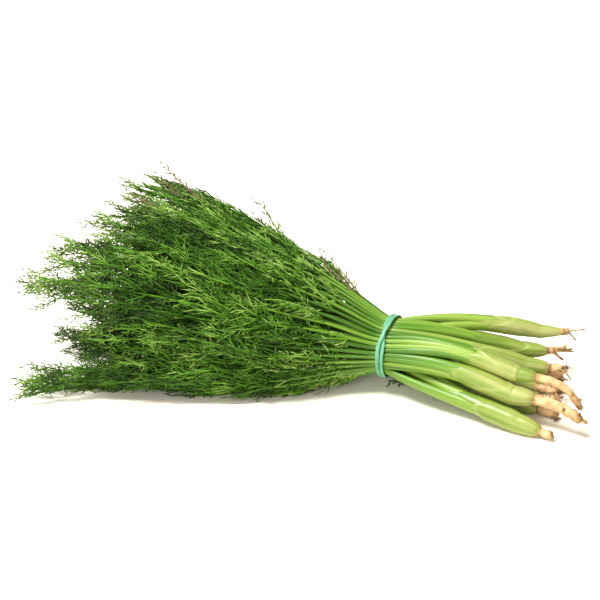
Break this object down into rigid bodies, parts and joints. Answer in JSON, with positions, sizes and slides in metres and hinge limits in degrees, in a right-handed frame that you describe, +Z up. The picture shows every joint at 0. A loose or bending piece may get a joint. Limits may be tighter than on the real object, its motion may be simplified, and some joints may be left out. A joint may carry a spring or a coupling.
{
  "type": "dill bunch",
  "caption": "Bunch of fresh dill with its roots, tied with an elastic band and lying on its side; feathery fronds fan out from pale bases.",
  "frame": {"origin": "centre of the bunch's bounding box in X and Y, on the surface it lies on", "axes": "+X along the bunch towards the roots, -X towards the leaf tips, +Z up"},
  "size_m": [0.3492, 0.2042, 0.1089],
  "materials": {
    "dill_green": null,
    "root_tan": "dry tan root bark, matt",
    "band_teal": "matt turquoise elastic"
  },
  "bodies": {
    "root": {"plant_01": "dill_green", "plant_02": "dill_green", "plant_03": "dill_green", "plant_04": "dill_green", "plant_05": "dill_green", "plant_06": "dill_green", "plant_07": "dill_green", "plant_08": "dill_green", "plant_09": "dill_green", "plant_10": "dill_green", "plant_11": "dill_green", "plant_12": "dill_green", "root_01": "root_tan", "root_02": "root_tan", "root_03": "root_tan", "root_04": "root_tan", "root_05": "root_tan", "root_06": "root_tan", "root_07": "root_tan", "root_08": "root_tan", "root_09": "root_tan", "root_10": "root_tan", "root_11": "root_tan", "root_12": "root_tan", "band": "band_teal"}
  },
  "joints": []
}
